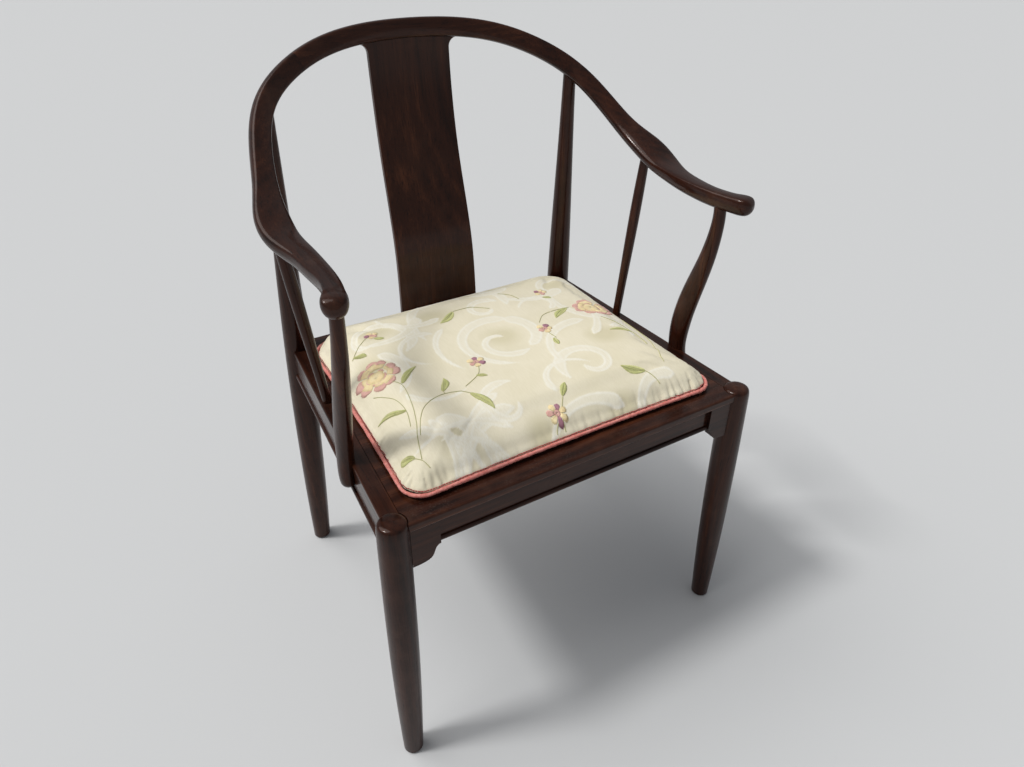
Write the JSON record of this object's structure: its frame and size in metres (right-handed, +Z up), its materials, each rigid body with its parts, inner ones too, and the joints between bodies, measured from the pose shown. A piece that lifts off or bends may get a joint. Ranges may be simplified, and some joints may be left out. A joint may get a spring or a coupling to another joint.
{
  "type": "horseshoe back armchair",
  "caption": "Armchair whose crest and arms are one bent wooden bow on turned posts, with a curved splat, a board seat and a loose seat cushion.",
  "frame": {"origin": "on the floor under the middle of the chair's overall box", "axes": "+Z up, the sitter faces -Y, +X towards the sitter's left hand"},
  "size_m": [0.5568, 0.4803, 0.8173],
  "materials": {
    "dark_wood": "dark red-brown hardwood, satin lacquer with a soft sheen",
    "plain_wood": "unstained hardwood, planed, no lacquer",
    "glide": "black moulded plastic",
    "screw_steel": "plain steel wood screw",
    "cushion_fabric": "cream silk damask with a tone-on-tone scroll and small embroidered flowers",
    "piping_fabric": "coral pink satin cord"
  },
  "bodies": {
    "chair_frame": {"crest_rail": "dark_wood", "arm_right": "dark_wood", "arm_left": "dark_wood", "crest_joint_dowels": "plain_wood", "front_leg_right": "dark_wood", "front_leg_left": "dark_wood", "rear_leg_right": "dark_wood", "rear_leg_left": "dark_wood", "front_glide_right": "glide", "front_glide_left": "glide", "rear_glide_right": "glide", "rear_glide_left": "glide", "side_seat_rail_right": "dark_wood", "side_seat_rail_left": "dark_wood", "front_seat_rail": "dark_wood", "rear_seat_rail": "dark_wood", "seat_panel": "dark_wood", "corner_bracket_right": "dark_wood", "corner_bracket_left": "dark_wood", "front_corner_block_right": "plain_wood", "front_corner_block_left": "plain_wood", "rear_corner_block_right": "plain_wood", "rear_corner_block_left": "plain_wood", "corner_block_screws": "screw_steel", "gooseneck_screws": "screw_steel", "gooseneck_right": "dark_wood", "gooseneck_left": "dark_wood", "side_spindle_right": "dark_wood", "side_spindle_left": "dark_wood", "back_splat": "dark_wood"},
    "loose_cushion": {"seat_cushion": "cushion_fabric", "cushion_piping": "piping_fabric"}
  },
  "joints": [
    {"name": "cushion_lift", "type": "slide", "parent": "chair_frame", "child": "loose_cushion", "axis": [0, -0.2079, 0.9781], "range_m": [0, 0.43]}
  ]
}
